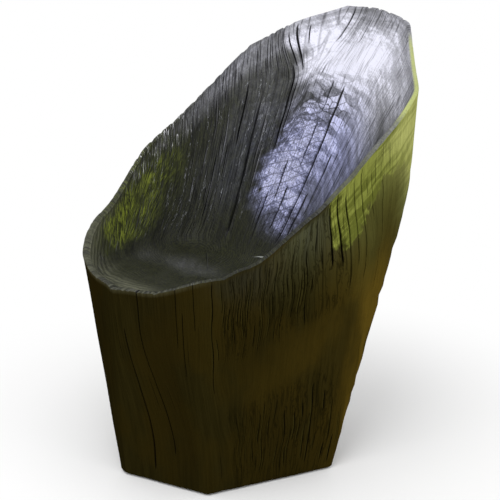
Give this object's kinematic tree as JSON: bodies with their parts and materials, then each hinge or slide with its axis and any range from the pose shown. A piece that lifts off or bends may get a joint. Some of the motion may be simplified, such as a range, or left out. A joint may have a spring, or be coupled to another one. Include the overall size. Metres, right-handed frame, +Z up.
{
  "type": "carved block chair",
  "caption": "Chair carved from one flaring block of blackened oak, with flat saw-cut sides, a scooped seat, a high sloping back and felt glides let into its base.",
  "frame": {"origin": "on the floor, under the middle of the chair's overall width and depth", "axes": "+Z up, the sitter faces -Y, +X to the sitter's left, which is the right of the chair seen from in front"},
  "size_m": [0.544, 0.6362, 0.8515],
  "materials": {
    "blackened_oak": "satin, darkened and oiled, with open drying checks",
    "moulded_cup": "matte moulded",
    "pressed_felt": "pressed wool felt",
    "screw_steel": "zinc plated"
  },
  "bodies": {
    "root": {"carved_block": "blackened_oak", "glide_cup_front_left": "moulded_cup", "glide_cup_front_right": "moulded_cup", "glide_cup_right": "moulded_cup", "glide_cup_back_right": "moulded_cup", "glide_cup_back_left": "moulded_cup", "glide_cup_left": "moulded_cup", "glide_felt_front_left": "pressed_felt", "glide_felt_front_right": "pressed_felt", "glide_felt_right": "pressed_felt", "glide_felt_back_right": "pressed_felt", "glide_felt_back_left": "pressed_felt", "glide_felt_left": "pressed_felt", "glide_screw_front_left": "screw_steel", "glide_screw_front_right": "screw_steel", "glide_screw_right": "screw_steel", "glide_screw_back_right": "screw_steel", "glide_screw_back_left": "screw_steel", "glide_screw_left": "screw_steel"}
  },
  "joints": []
}
